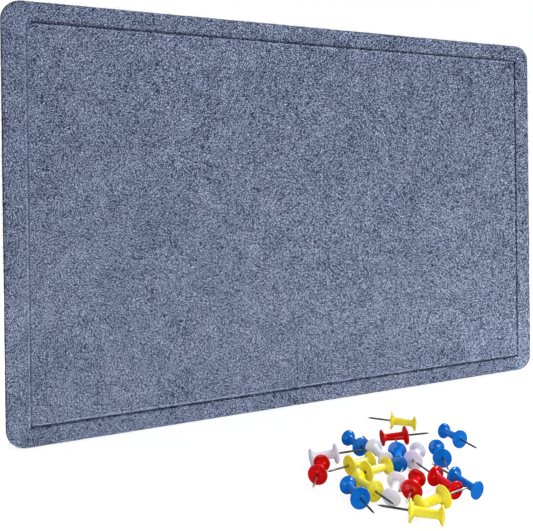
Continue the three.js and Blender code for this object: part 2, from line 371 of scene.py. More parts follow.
@dataclass
class Slab:
    """Upright slab with rounded corners, made of two gridded fields and the wall between them."""

    middle: Vector
    width: float
    height: float
    thickness: float
    across: int
    up: int

    def side(self, length: float, depth: float, radius: float, cells: int) -> np.ndarray:
        """One side of a rounded rectangle, from the middle of one corner to the middle of the next.

        The way along the side is half an arc, a straight and half an arc. A point at the way s lies
        on the straight, or on an arc at the angle (way along the arc) / radius.

        Args:
            length: Half the rectangle's length along this side.
            depth: Half its other length.
            radius: Radius of its corners.
            cells: How many even steps the side has. The last point is left out.

        Returns:
            Places along and across the side, one row each.
        """
        arc = radius * math.pi / 4
        whole = 2 * (length - radius) + 2 * arc
        way = np.arange(cells) * whole / cells
        past, short = np.clip(way - (whole - arc), 0, arc), np.clip(arc - way, 0, arc)
        turn = (past - short) / max(radius, TINY)
        straight = np.clip(way - arc, 0, whole - 2 * arc) - (length - radius)
        across = radius * (1 - np.cos(turn)) - depth
        return np.stack([straight + radius * np.sin(turn), across], axis=1)

    def halves(self, section: Section, station: int) -> tuple[float, float]:
        """Half the width and half the height of one station."""
        insets = section.side_inset[station], section.end_inset[station]
        return self.width / 2 - insets[0], self.height / 2 - insets[1]

    def laid_out(self, x: np.ndarray, z: np.ndarray, depth: float) -> np.ndarray:
        """Puts points on a plane behind the slab's front.

        Args:
            x: Ways to the right of the slab's middle.
            z: Ways up from it.
            depth: How far behind the front the plane lies.

        Returns:
            Places, one row each.
        """
        y = np.full_like(x, self.middle.y - self.thickness / 2 + depth)
        return np.stack([x + self.middle.x, y, z + self.middle.z], axis=-1).reshape(-1, 3)

    def ring(self, section: Section, station: int) -> np.ndarray:
        """Points of one station: its four sides, anticlockwise from the lower left corner.

        Args:
            section: The wall's stations.
            station: Which of them.

        Returns:
            Places, one row each.
        """
        half_width, half_height = self.halves(section, station)
        radius = section.radius[station]
        flat = self.side(half_width, half_height, radius, self.across)
        tall = self.side(half_height, half_width, radius, self.up)
        plan = np.vstack([flat, tall[:, ::-1] * (-1, 1), -flat, tall[:, ::-1] * (1, -1)])
        return self.laid_out(plan[:, 0], plan[:, 1], section.depth[station])

    def field(self, section: Section, station: int) -> np.ndarray:
        """Grid of points that fills the rectangle of one station, whose corners are sharp.

        Args:
            section: The wall's stations.
            station: Which of them.

        Returns:
            Places in rows from left to right, one column after another from the bottom.
        """
        half_width, half_height = self.halves(section, station)
        x = np.linspace(-half_width, half_width, self.across + 1)
        z = np.linspace(-half_height, half_height, self.up + 1)
        return self.laid_out(*np.meshgrid(x, z, indexing="ij"), section.depth[station])

    def field_numbers(self) -> np.ndarray:
        """Numbers of a field's points, one column of the board in each row."""
        return np.arange((self.across + 1) * (self.up + 1)).reshape(self.across + 1, self.up + 1)

    def field_edge(self) -> np.ndarray:
        """Outer points of a field, in the order in which a ring has them.

        Returns:
            The points' numbers.
        """
        number = self.field_numbers()
        sides = [number[:-1, 0], number[-1, :-1], number[:0:-1, -1], number[0, :0:-1]]
        return np.concatenate(sides)

    def field_faces(self, facing: Facing) -> np.ndarray:
        """Faces of a field's cells.

        Args:
            facing: The way the field looks.

        Returns:
            Four point numbers for each cell.
        """
        number = self.field_numbers()
        corners = [number[:-1, :-1], number[1:, :-1], number[1:, 1:], number[:-1, 1:]]
        faces = np.stack(corners, axis=2).reshape(-1, 4)
        return faces if facing is Facing.FRONT else faces[:, ::-1]

    def skin(self, section: Section) -> Skin:
        """Closed surface of the slab: the front field, the rings of the wall and the back field.

        Args:
            section: The wall's stations. The first and the last have sharp corners and edge the
                fields.

        Returns:
            The surface.
        """
        last = len(section.depth) - 1
        rings = [self.ring(section, station) for station in range(1, last)]
        blocks = [self.field(section, 0), *rings, self.field(section, last)]
        starts = np.cumsum([0] + [len(block) for block in blocks])
        edge = self.field_edge()
        loops = [edge]
        loops += [np.arange(starts[k], starts[k] + len(rings[k - 1])) for k in range(1, last)]
        loops.append(edge + starts[last])
        quads = [self.field_faces(Facing.FRONT), self.field_faces(Facing.BACK) + starts[last]]
        for inner, outer in zip(loops[:-1], loops[1:]):
            following = [outer, np.roll(outer, -1), np.roll(inner, -1), inner]
            quads.append(np.stack(following, axis=1))
        counts = (self.across, self.up) * 2
        tones = [np.repeat(section.tone[k], counts) for k in range(1, last)]
        field_tone = np.zeros(len(blocks[0]))
        tone = np.concatenate([field_tone, *tones, field_tone])
        return Skin(np.vstack(blocks), np.vstack(quads), np.zeros((0, 3), dtype=int), tone)


class Wiring:
    """Adds nodes to one tree and joins their sockets."""

    def __init__(self, tree: bpy.types.NodeTree) -> None:
        """Takes the tree that the nodes go into."""
        self.tree = tree

    def feed(self, node: bpy.types.Node, joins: dict[str | int, SocketValue]) -> None:
        """Fills input sockets of a node, a constant straight on its socket.

        Args:
            node: The node.
            joins: Input sockets, by name or number, and what each holds or is fed by.
        """
        for name, value in joins.items():
            if isinstance(value, Socket):
                self.tree.links.new(value, node.inputs[name])
            else:
                node.inputs[name].default_value = value

    def add(
        self, kind: str, joins: dict[str | int, SocketValue] | None = None, **settings: object
    ) -> bpy.types.Node:
        """Adds a node.

        Args:
            kind: The node's type, without the word that starts every shader node's type.
            joins: Input sockets, by name or number, and what each holds or is fed by.
            settings: The node's own properties.

        Returns:
            The node.
        """
        node = self.tree.nodes.new("ShaderNode" + kind)
        for name, value in settings.items():
            setattr(node, name, value)
        self.feed(node, joins or {})
        return node

    def group(self, tree: bpy.types.NodeTree, joins: dict[str, SocketValue]) -> bpy.types.Node:
        """Places a node group and fills its inputs."""
        return self.add("Group", joins, node_tree=tree)

    def math(self, operation: str, *terms: SocketValue) -> Socket:
        """Result of one Math node whose inputs are the terms."""
        return self.add("Math", dict(enumerate(terms)), operation=operation).outputs[0]

    def vector_math(self, operation: str, *terms: SocketValue) -> Socket:
        """Vector that one Vector Math node makes of the terms."""
        node = self.add("VectorMath", dict(enumerate(terms)), operation=operation)
        return node.outputs["Vector"]

    def noise(self, place: Socket, size: float, detail: float) -> Socket:
        """Value of a noise texture whose features are about as wide as size."""
        joins = {"Vector": place, "Scale": 1 / size, "Detail": detail}
        return self.add("TexNoise", joins).outputs["Fac"]

    def weighed(self, *terms: tuple[Socket, float]) -> Socket:
        """Sum of values, each less one half and times its weight.

        Args:
            terms: Each value and its weight.

        Returns:
            The sum.
        """
        total: SocketValue = 0.0
        for value, weight in terms:
            part = self.math("SUBTRACT", value, 0.5)
            total = self.math("MULTIPLY_ADD", part, weight, total)
        return total

    def span(self, value: Socket, low: float, high: float) -> Socket:
        """A value from 0 to 1 carried over to the range from low to high."""
        joins = {"Value": value, "To Min": low, "To Max": high}
        return self.add("MapRange", joins).outputs["Result"]

    def bump(self, height: Socket, distance: float, strength: float) -> Socket:
        """Normal of a surface that a height lifts by up to the distance."""
        joins = {"Height": height, "Distance": distance, "Strength": strength}
        return self.add("Bump", joins).outputs["Normal"]

    def laid(
        self, tree: bpy.types.NodeTree, output: str, place: Socket, turns: Sequence[float],
        size: Sequence[float], **others: float,
    ) -> list[Socket]:
        """One layer of a directed pattern for each way that it lies.

        Args:
            tree: The pattern's group.
            output: Which of the group's outputs.
            place: Where on the piece.
            turns: The ways the layers lie, in degrees from X.
            size: Length, thickness and width of the pattern's features.
            others: What the group's other inputs hold.

        Returns:
            The layers' values.
        """
        layers = []
        for turn in turns:
            joins = {"Place": place, "Turn": (0, math.radians(turn), 0), "Size": size, **others}
            layers.append(self.group(tree, joins).outputs[output])
        return layers

    def ramp(self, value: Socket, places: Sequence[float], colours: Sequence[Colour]) -> Socket:
        """Colour of a ramp at a value.

        Args:
            value: Where on the ramp.
            places: Place of each stop, in growing order.
            colours: Colour of each stop.

        Returns:
            The colour.
        """
        node = self.add("ValToRGB", {"Fac": value})
        elements = node.color_ramp.elements
        while len(elements) < len(places):
            elements.new(1.0)
        for element, place, colour in zip(elements, places, colours):
            element.position = place
            element.color = colour
        return node.outputs["Color"]


def new_group(
    name: str, inputs: dict[str, str], outputs: dict[str, str]
) -> tuple[bpy.types.NodeTree, Wiring, bpy.types.Node, bpy.types.Node]:
    """Makes an empty shader node group.

    Args:
        name: The group's name.
        inputs: Input names and the kinds of their sockets.
        outputs: Output names and the kinds of their sockets.

    Returns:
        The group, its wiring, its input node and its output node.
    """
    tree = bpy.data.node_groups.new(name, "ShaderNodeTree")
    for names, direction in ((inputs, "INPUT"), (outputs, "OUTPUT")):
        for label, kind in names.items():
            tree.interface.new_socket(name=label, in_out=direction, socket_type=f"NodeSocket{kind}")
    source = tree.nodes.new("NodeGroupInput")
    sink = tree.nodes.new("NodeGroupOutput")
    return tree, Wiring(tree), source, sink


def turned_back(wiring: Wiring, source: bpy.types.Node) -> Socket:
    """Place turned back by Turn and divided by Size, where a directed pattern is worked out.

    Args:
        wiring: The wiring of the pattern's group.
        source: The group's input node, with the outputs Place, Turn and Size.

    Returns:
        The place.
    """
    given = source.outputs
    joins = {"Vector": given["Place"], "Rotation": given["Turn"], "Scale": given["Size"]}
    return wiring.add("Mapping", joins, vector_type="TEXTURE").outputs["Vector"]


def strand_group() -> bpy.types.NodeTree:
    """Field of long features that lie one way, and the thin threads in it.

    The place is turned back by Turn and divided by Size, so that a noise with features one unit
    wide there has features of that length, thickness and width here. A share of the same noise,
    moved sideways, is taken off the field, so that each feature has its shadow beside it. A thread
    follows each line where the noise is one half: it is 1 on the line and falls off by Thin times
    the noise's distance from it.

    Returns:
        A group with the inputs Place, Turn, Size and Thin and the outputs Field and Thread.
    """
    tree, wiring, source, sink = new_group(
        "strands",
        {"Place": "Vector", "Turn": "Vector", "Size": "Vector", "Thin": "Float"},
        {"Field": "Float", "Thread": "Float"},
    )
    turned = turned_back(wiring, source)
    noise = wiring.noise(turned, 1.0, 0.0)
    beside = wiring.vector_math("ADD", turned, SHADOW_SHIFT)
    shadow = wiring.math("SUBTRACT", wiring.noise(beside, 1.0, 0.0), 0.5)
    field = wiring.math("MULTIPLY_ADD", shadow, -SHADOW_SHARE, noise)
    off = wiring.math("ABSOLUTE", wiring.math("SUBTRACT", noise, 0.5))
    fallen = wiring.math("SUBTRACT", 1.0, wiring.math("MULTIPLY", off, source.outputs["Thin"]))
    wiring.feed(sink, {"Field": field, "Thread": wiring.math("MAXIMUM", fallen, 0.0)})
    return tree


def fleck_group() -> bpy.types.NodeTree:
    """Short straight pieces of fibre that lie one way, side by side, each of one shade.

    The place is turned back by Turn and divided by Size. The pieces are the cells of a Voronoi
    pattern there, so that here they have about that length, thickness and width.

    Returns:
        A group with the inputs Place, Turn and Size and the output Shade, even from 0 to 1.
    """
    tree, wiring, source, sink = new_group(
        "flecks", {"Place": "Vector", "Turn": "Vector", "Size": "Vector"}, {"Shade": "Float"}
    )
    turned = turned_back(wiring, source)
    cells = wiring.add("TexVoronoi", {"Vector": turned, "Scale": 1.0}).outputs["Color"]
    wiring.feed(sink, {"Shade": wiring.add("SeparateColor", {"Color": cells}).outputs[0]})
    return tree


def grain_group() -> bpy.types.NodeTree:
    """Fine unevenness of a hard or foamed surface.

    Returns:
        A group with the inputs Place and Size, and the outputs Broad, which wanders over many
        grains, and Fine, which changes from grain to grain.
    """
    tree, wiring, source, sink = new_group(
        "grain", {"Place": "Vector", "Size": "Float"}, {"Broad": "Float", "Fine": "Float"}
    )
    scale = wiring.math("DIVIDE", 1.0, source.outputs["Size"])
    coarse = wiring.math("DIVIDE", scale, BROAD_TIMES)
    for part, density, detail in (("Fine", scale, FINE_DETAIL), ("Broad", coarse, BROAD_DETAIL)):
        joins = {"Vector": source.outputs["Place"], "Scale": density, "Detail": detail}
        wiring.feed(sink, {part: wiring.add("TexNoise", joins).outputs["Fac"]})
    return tree


STRANDS = strand_group()
FLECKS = fleck_group()
GRAIN = grain_group()


def shader_of(name: str) -> tuple[bpy.types.Material, Wiring, bpy.types.Node]:
    """Makes a material with one Principled shader.

    Args:
        name: The material's name.

    Returns:
        The material, its wiring and its shader.
    """
    material = bpy.data.materials.new(name)
    material.use_nodes = True
    shader = material.node_tree.nodes["Principled BSDF"]
    return material, Wiring(material.node_tree), shader


@dataclass(frozen=True)
class FeltFinish:
    """Heather felt: fibres from dark to light blue-grey, matted together."""

    name: str = "heather_felt"
    darkest: str = "050a1d"
    dark: str = "1c294a"
    middle: str = "46567c"
    light: str = "7888b1"
    lightest: str = "cddbf5"
    tints: tuple[Colour, ...] = ((0.98, 1.006, 0.997, 1.0), (1.02, 0.994, 1.003, 1.0))
    tint_places: tuple[float, ...] = (0.35, 0.65)
    curl: float = 0.0014
    curl_width: float = 0.0024
    curl_detail: float = 1.0
    fibre_turns: tuple[float, ...] = (-50.0, -8.0, 40.0, 82.0)
    fibre_size: tuple[float, float, float] = (0.0024, 0.00043, 0.00041)
    fan_left: float = 0.58
    fan_height: float = 0.1
    fleck_turns: tuple[float, ...] = (-35.0, 55.0)
    fleck_size: tuple[float, float, float] = (0.0012, 0.0004, 0.00024)
    light_turns: tuple[float, ...] = (-60.0, 35.0)
    dark_turns: tuple[float, ...] = (-25.0, 70.0)
    strand_size: tuple[float, float, float] = (0.003, 0.0007, 0.0008)
    thin: float = 10.0
    patch_width: float = 0.0042
    cloud_width: float = 0.017
    tint_width: float = 0.018
    patch_detail: float = 2.0
    fibre_weight: float = 1.72
    calm: float = 0.005
    fleck_weight: float = 0.12
    light_weight: float = 0.1
    dark_weight: float = -0.08
    patch_weight: float = 0.36
    cloud_weight: float = 0.24
    relief: float = 0.00035
    relief_strength: float = 0.6
    roughness: float = 0.95
    shine: float = 0.15
    sheen: float = 0.12
    sheen_roughness: float = 0.5

    def threads(self, wiring: Wiring, place: Socket, turns: Sequence[float]) -> Socket:
        """Threads that lie several ways, one crossing over the other.

        Args:
            wiring: The material's wiring.
            place: Where on the felt.
            turns: The ways the threads lie, in degrees from X.

        Returns:
            A value from 0 to 1, the largest of the layers.
        """
        top: SocketValue = 0.0
        for layer in wiring.laid(STRANDS, "Thread", place, turns, self.strand_size, Thin=self.thin):
            top = wiring.math("MAXIMUM", top, layer)
        return top

    def fanned(self, wiring: Wiring, place: Socket) -> Socket:
        """Place on a map where the fibres widen to the right, as combed felt does.

        With r and a the distance and angle of a place from a point to the left of the board, seen
        from the front, the map is (d ln r, Y, d a), where d is that point's distance from the
        middle. It keeps the shape of small features and makes them wider in proportion to r.

        Args:
            wiring: The material's wiring.
            place: Where on the felt.

        Returns:
            The place on the map.
        """
        parts = wiring.add("SeparateXYZ", {"Vector": place}).outputs
        away = wiring.math("ADD", parts["X"], self.fan_left)
        above = wiring.math("SUBTRACT", parts["Z"], self.fan_height)
        squares = wiring.math("MULTIPLY_ADD", away, away, wiring.math("MULTIPLY", above, above))
        logarithm = wiring.math("LOGARITHM", squares, math.e)
        joins = {
            "X": wiring.math("MULTIPLY", logarithm, self.fan_left / 2),
            "Y": parts["Y"],
            "Z": wiring.math("MULTIPLY", wiring.math("ARCTAN2", above, away), self.fan_left),
        }
        return wiring.add("CombineXYZ", joins).outputs["Vector"]

    def material(self) -> bpy.types.Material:
        """Sums fibres, flecks, light and dark threads and patches, and colours the sum by a ramp.

        The fibres show less the further the tone is from that of the face, by calm^(tone^2), so
        that the groove's painted lines and the edges' painted shade and light stay sharp.

        Returns:
            The material.
        """
        material, wiring, shader = shader_of(self.name)
        place = wiring.add("TexCoord").outputs["Object"]
        joins = {"Vector": place, "Scale": 1 / self.curl_width, "Detail": self.curl_detail}
        drift = wiring.add("TexNoise", joins).outputs["Color"]
        centred = wiring.vector_math("SUBTRACT", drift, (0.5,) * 3)
        fanned = self.fanned(wiring, place)
        curled = wiring.vector_math("MULTIPLY_ADD", centred, (self.curl,) * 3, fanned)
        fibres = wiring.laid(STRANDS, "Field", curled, self.fibre_turns, self.fibre_size)
        flecks = wiring.laid(FLECKS, "Shade", curled, self.fleck_turns, self.fleck_size)
        # The tone carries the painted light and shade of the groove, the edges and the face
        tone = wiring.add("Attribute", attribute_name="tone").outputs["Fac"]
        calm = wiring.math("POWER", self.calm, wiring.math("MULTIPLY", tone, tone))
        even = wiring.weighed(*((value, self.fibre_weight) for value in fibres))
        matted = wiring.math("MULTIPLY", even, calm)
        mottle = wiring.weighed(
            *((value, self.fleck_weight) for value in flecks),
            (self.threads(wiring, curled, self.light_turns), self.light_weight),
            (self.threads(wiring, curled, self.dark_turns), self.dark_weight),
            (wiring.noise(place, self.patch_width, self.patch_detail), self.patch_weight),
            (wiring.noise(place, self.cloud_width, self.patch_detail), self.cloud_weight),
        )
        level = wiring.math("ADD", tone, 0.5)
        shade = wiring.math("ADD", wiring.math("ADD", matted, mottle), level)
        stops = palette(self.darkest, self.dark, self.middle, self.light, self.lightest)
        colour = wiring.ramp(shade, np.linspace(0, 1, len(stops)).tolist(), stops)
        drifted = wiring.noise(place, self.tint_width, self.patch_detail)
        tint = wiring.ramp(drifted, self.tint_places, self.tints)
        joins = {"Factor": 1.0, "A": colour, "B": tint}
        tinted = wiring.add("Mix", joins, data_type="RGBA", blend_type="MULTIPLY")
        wiring.feed(shader, {
            "Base Color": tinted.outputs["Result"],
            "Normal": wiring.bump(matted, self.relief, self.relief_strength),
            "Roughness": self.roughness,
            "Specular IOR Level": self.shine,
            "Sheen Weight": self.sheen,
            "Sheen Roughness": self.sheen_roughness,
        })
        return material


@dataclass(frozen=True)
class FibreFinish:
    """Single felt fibres, each of one shade between dark and light."""

    name: str = "felt_fibre"
    dark: str = "38343a"
    light: str = "c0c9de"
    grain: float = 0.0004
    grain_weight: float = 0.3
    roughness: float = 0.8
    shine: float = 0.2

    def material(self) -> bpy.types.Material:
        """Colours each fibre by its tone, with a little change along it.

        Returns:
            The material.
        """
        material, wiring, shader = shader_of(self.name)
        tone = wiring.add("Attribute", attribute_name="tone").outputs["Fac"]
        place = wiring.add("TexCoord").outputs["Object"]
        grain = wiring.group(GRAIN, {"Place": place, "Size": self.grain}).outputs["Fine"]
        shade = wiring.math("ADD", wiring.weighed((grain, self.grain_weight)), tone)
        wiring.feed(shader, {
            "Base Color": wiring.ramp(shade, (0.0, 1.0), palette(self.dark, self.light)),
            "Roughness": self.roughness,
            "Specular IOR Level": self.shine,
        })
        return material


@dataclass(frozen=True)
class PlasticFinish:
    """Glossy moulded plastic of one colour."""

    name: str
    deep: str
    bright: str
    glow: float
    glow_reach: tuple[float, float, float]
    glow_depth: float = 0.0012
    refraction: float = 1.5
    shine: float = 0.8
    roughness: tuple[float, float] = (0.05, 0.12)
    places: tuple[float, float] = (0.3, 0.7)
    grain: float = 0.0007
    relief: float = 0.00002
    relief_strength: float = 0.5

    def material(self) -> bpy.types.Material:
        """Lets colour and gloss wander a little over the moulding, in the pin's own axes.

        Returns:
            The material.
        """
        material, wiring, shader = shader_of(self.name)
        place = wiring.add("Attribute", attribute_name="local").outputs["Vector"]
        grain = wiring.group(GRAIN, {"Place": place, "Size": self.grain}).outputs
        wiring.feed(shader, {
            "Base Color": wiring.ramp(grain["Broad"], self.places, palette(self.deep, self.bright)),
            "Roughness": wiring.span(grain["Fine"], *self.roughness),
            "Normal": wiring.bump(grain["Broad"], self.relief, self.relief_strength),
            "IOR": self.refraction,
            "Specular IOR Level": self.shine,
            "Subsurface Weight": self.glow,
            "Subsurface Radius": self.glow_reach,
            "Subsurface Scale": self.glow_depth,
        })
        return material


@dataclass(frozen=True)
class SteelFinish:
    """Bright drawn wire, ground at its point."""

    name: str = "needle_steel"
    dull: str = "464445"
    bright: str = "bcb8b4"
    roughness: tuple[float, float] = (0.22, 0.42)
    places: tuple[float, float] = (0.3, 0.7)
    draw_size: tuple[float, float, float] = (0.00006, 0.00006, 0.004)

    def material(self) -> bpy.types.Material:
        """Draws long marks along the wire, in the pin's own axes.

        Returns:
            The material.
        """
        material, wiring, shader = shader_of(self.name)
        place = wiring.add("Attribute", attribute_name="local").outputs["Vector"]
        marks = wiring.group(STRANDS, {"Place": place, "Size": self.draw_size}).outputs["Field"]
        wiring.feed(shader, {
            "Base Color": wiring.ramp(marks, self.places, palette(self.dull, self.bright)),
            "Roughness": wiring.span(marks, *self.roughness),
            "Metallic": 1.0,
        })
        return material


@dataclass(frozen=True)
class FoamFinish:
    """Closed-cell foam, die-cut, with its cells showing."""

    name: str = "pad_foam"
    # Colour of a cell's middle, darker than the wall as painted shade in the hollow
    hollow: str = "cfcfc8"
    wall: str = "f0efe9"
    places: tuple[float, float] = (0.2, 0.8)
    cell: float = 0.0004
    grain_weight: float = 0.5
    relief: float = 0.0002
    relief_strength: float = 0.7
    roughness: float = 0.85
    shine: float = 0.3

    def material(self) -> bpy.types.Material:
        """Darkens the middle of each Voronoi cell as painted shade in its hollow, and sinks it.

        Returns:
            The material.
        """
        material, wiring, shader = shader_of(self.name)
        place = wiring.add("TexCoord").outputs["Object"]
        joins = {"Vector": place, "Scale": 1 / self.cell}
        cells = wiring.add("TexVoronoi", joins).outputs["Distance"]
        grain = wiring.group(GRAIN, {"Place": place, "Size": self.cell}).outputs["Broad"]
        height = wiring.weighed((cells, 1.0), (grain, self.grain_weight))
        shade = wiring.math("ADD", height, 0.5)
        wiring.feed(shader, {
            "Base Color": wiring.ramp(shade, self.places, palette(self.hollow, self.wall)),
            "Normal": wiring.bump(height, self.relief, self.relief_strength),
            "Roughness": self.roughness,
            "Specular IOR Level": self.shine,
        })
        return material


@dataclass(frozen=True)
class PaperFinish:
    """Silicone-coated kraft paper with short fibres under the coat."""

    name: str = "liner_paper"
    dark: str = "c2a56f"
    light: str = "dcc596"
    places: tuple[float, float] = (0.1, 0.9)
    strand_turns: tuple[float, ...] = (17.1887, 97.4028)
    strand_size: tuple[float, float, float] = (0.0022, 0.0004, 0.0003)
    grain: float = 0.0012
    grain_weight: float = 0.8
    relief: float = 0.00004
    relief_strength: float = 0.4
    roughness: tuple[float, float] = (0.28, 0.5)
    shine: float = 0.5

    def material(self) -> bpy.types.Material:
        """Mixes fibres that lie several ways, and lets the coat's gloss wander.

        Returns:
            The material.
        """
        material, wiring, shader = shader_of(self.name)
        place = wiring.add("TexCoord").outputs["Object"]
        layers = wiring.laid(STRANDS, "Field", place, self.strand_turns, self.strand_size)
        grain = wiring.group(GRAIN, {"Place": place, "Size": self.grain}).outputs["Broad"]
        fibres = wiring.weighed(*((layer, 1.0) for layer in layers), (grain, self.grain_weight))
        shade = wiring.math("ADD", fibres, 0.5)
        wiring.feed(shader, {
            "Base Color": wiring.ramp(shade, self.places, palette(self.dark, self.light)),
            "Roughness": wiring.span(grain, *self.roughness),
            "Normal": wiring.bump(fibres, self.relief, self.relief_strength),
            "Specular IOR Level": self.shine,
        })
        return material


@dataclass(frozen=True)
class PaintedTones:
    """Painted light and shade along one side of the board, as tones added to the felt's colour.

    The groove has a dark and a light line, whose places are counted inwards from its middle line.
    The dark line is painted shade in the groove, but painted light on the left, whose outer slope
    faces the light. The light line is a painted highlight at the groove's edge. The edge's tone is
    painted shade on the top and the sides and painted light on the bottom.
    """

    dark: float
    dark_at: float
    dark_width: float
    light: float
    light_at: float
    light_width: float
    edge: float

    def lines(self, off: np.ndarray) -> np.ndarray:
        """Painted tone at each way off the groove's middle line.

        The dark line is a flat-topped bell, exp(-(way / width)^4), and the light one is a plain
        bell, exp(-(way / width)^2).

        Args:
            off: The ways, inwards from the middle line.

        Returns:
            The tones.
        """
        dark = self.dark * np.exp(-(((off - self.dark_at) / self.dark_width) ** 4))
        return dark + self.light * np.exp(-(((off - self.light_at) / self.light_width) ** 2))


@dataclass
class FeltPanel:
    """The board itself: one thick felt panel with a mitred groove round its face."""

    node: str = "felt_panel"
    finish: FeltFinish = FeltFinish()
    across: int = 208
    up: int = 138
    corner_radius: float = 0.009
    edge_rounding: float = 0.0006
    rounding_steps: int = 5
    wall_steps: int = 8
    rim_steps: int = 7
    back_rim: float = 0.012
    back_steps: int = 4
    squared_inset: float = 0.007
    groove_side_inset: float = 0.0105
    groove_end_inset: float = 0.0088
    groove_depth: float = 0.0011
    groove_reach: float = 0.0034
    groove_steps: int = 31
    groove_crowding: float = 2.0
    deepest_offset: float = 0.00025
    inner_wall: float = 0.0005
    outer_wall: float = 0.0009
    lip_rise: float = 0.00012
    lip_width: float = 0.0003
    # Painted light and shade of each side: the groove's lines and the edge, set by how light falls
    bottom: PaintedTones = PaintedTones(-0.35, -0.00015, 0.0006, 0.24, 0.0012, 0.0004, 0.42)
    right: PaintedTones = PaintedTones(-0.27, -0.00025, 0.00032, 0.12, 0.0018, 0.0005, -0.5)
    top: PaintedTones = PaintedTones(-0.4, 0.00058, 0.00045, 0.19, 0.0016, 0.00035, -0.2)
    left: PaintedTones = PaintedTones(0.2, 0.00025, 0.0005, 0.27, -0.0005, 0.00026, -0.86)
    # Painted light below and at both ends, and painted shade to the right and at both sides
    lighter_below: float = 0.2
    even_height: float = 0.52
    lighter_ends: float = 0.055
    darker_right: float = 0.2
    darker_sides: float = 0.035
    edge_drop: float = 0.0002
    edge_reach: float = 0.0006
    rim_share: float = 0.25
    wall_share: float = 0.4
    lump: float = 0.00007
    lump_width: float = 0.009
    pit: float = 0.00004
    pit_width: float = 0.0022
    skin: Skin = field(init=False)

    def tones(self) -> list[PaintedTones]:
        """Painted tones of the four sides, in the order of the sides' numbers."""
        return [getattr(self, side.name.lower()) for side in Side]

    def edge_tone(self) -> np.ndarray:
        """Painted shade and light of the rounded edge on the four sides."""
        return np.array([tones.edge for tones in self.tones()])

    def corner_at(self, inset: np.ndarray) -> np.ndarray:
        """Corner radius at a mean inset: it shrinks evenly and is nothing from the groove on."""
        return self.corner_radius * np.clip(1 - inset / self.squared_inset, 0, 1)

    def groove(self) -> Section:
        """Stations across the groove, from the field outwards.

        The ways off the middle line are spread by a hyperbolic sine, so that they crowd in the
        groove. The depth is a squared cosine on each side of the deepest line, steep on the inner
        side and slow on the outer one. A narrow bell lifts the inner lip. The tones across it are
        each side's painted shade and highlight.

        Returns:
            The stations.
        """
        spread = np.linspace(1, -1, self.groove_steps)
        crowding = self.groove_crowding
        off = self.groove_reach * np.sinh(crowding * spread) / math.sinh(crowding)
        past = off - self.deepest_offset
        reach = np.where(past > 0, self.inner_wall, self.outer_wall)
        bell = np.cos(np.clip(np.abs(past) / reach, 0, 1) * math.pi / 2) ** 2
        lip = np.exp(-(((past - self.inner_wall - self.lip_width / 2) / self.lip_width) ** 2))
        tone = np.stack([tones.lines(off) for tones in self.tones()], axis=1)
        side_inset = self.groove_side_inset + off
        end_inset = self.groove_end_inset + off
        depth = self.groove_depth * bell - self.lip_rise * lip
        return Section(side_inset, end_inset, np.zeros(len(off)), depth, tone)

    def rim(self, side_inset: float, end_inset: float, steps: int) -> Section:
        """Stations of the flat rim, from its inner end to where the edge starts to round.

        Args:
            side_inset: Inset of the inner end at the sides, left out of the stations.
            end_inset: The same at the top and bottom.
            steps: How many stations.

        Returns:
            The stations, evenly spaced, which fall away a little towards the edge.
        """
        share = np.arange(1, steps + 1) / steps
        side = between(side_inset, self.edge_rounding, share)
        end = between(end_inset, self.edge_rounding, share)
        mean = (side + end) / 2
        fall = np.exp(-mean / self.edge_reach)
        # The rim takes a share of the edge's painted shade and light, more near the edge
        tone = np.outer(fall * self.rim_share, self.edge_tone())
        return Section(side, end, self.corner_at(mean), self.edge_drop * fall, tone)

    def rounding(self) -> Section:
        """Stations of the rounded edge: a quarter of an ellipse from the rim to the wall.

        Returns:
            The stations.
        """
        turn = np.arange(1, self.rounding_steps + 1) / self.rounding_steps * math.pi / 2
        inset = self.edge_rounding * (1 - np.sin(turn))
        rim_drop = self.edge_drop * math.exp(-self.edge_rounding / self.edge_reach)
        depth = between(rim_drop, self.edge_rounding, 1 - np.cos(turn))
        # The rounded edge takes the edge's painted shade and light, most where it turns furthest
        tone = np.outer(np.maximum(np.sin(turn), self.rim_share), self.edge_tone())
        return Section(inset, inset, self.corner_at(inset), depth, tone)

    def wall(self, thickness: float) -> Section:
        """Stations of the upright wall between the two rounded edges.

        Args:
            thickness: How thick the panel is.

        Returns:
            The stations, evenly spaced.
        """
        share = np.arange(1, self.wall_steps) / self.wall_steps
        depth = between(self.edge_rounding, thickness - self.edge_rounding, share)
        flat = np.zeros(len(share))
        # The wall takes a share of the edge's painted shade and light
        tone = np.outer(flat + self.wall_share, self.edge_tone())
        return Section(flat, flat, flat + self.corner_radius, depth, tone)

    def section(self, thickness: float) -> Section:
        """All stations of the panel.

        Args:
            thickness: How thick the panel is.

        Returns:
            The stations, from the edge of the field inside the groove to the edge of the back's.
        """
        groove = self.groove()
        front_rim = self.rim(groove.side_inset[-1], groove.end_inset[-1], self.rim_steps)
        edge = front_rim.followed_by(self.rounding())
        back_rim = self.rim(self.back_rim, self.back_rim, self.back_steps)
        ends = [np.array([value]) for value in (self.back_rim, self.back_rim, 0.0, 0.0)]
        start = Section(*ends, np.zeros((1, len(Side))))
        back = start.followed_by(back_rim).followed_by(self.rounding()).mirrored(thickness)
        return groove.followed_by(edge).followed_by(self.wall(thickness)).followed_by(back)

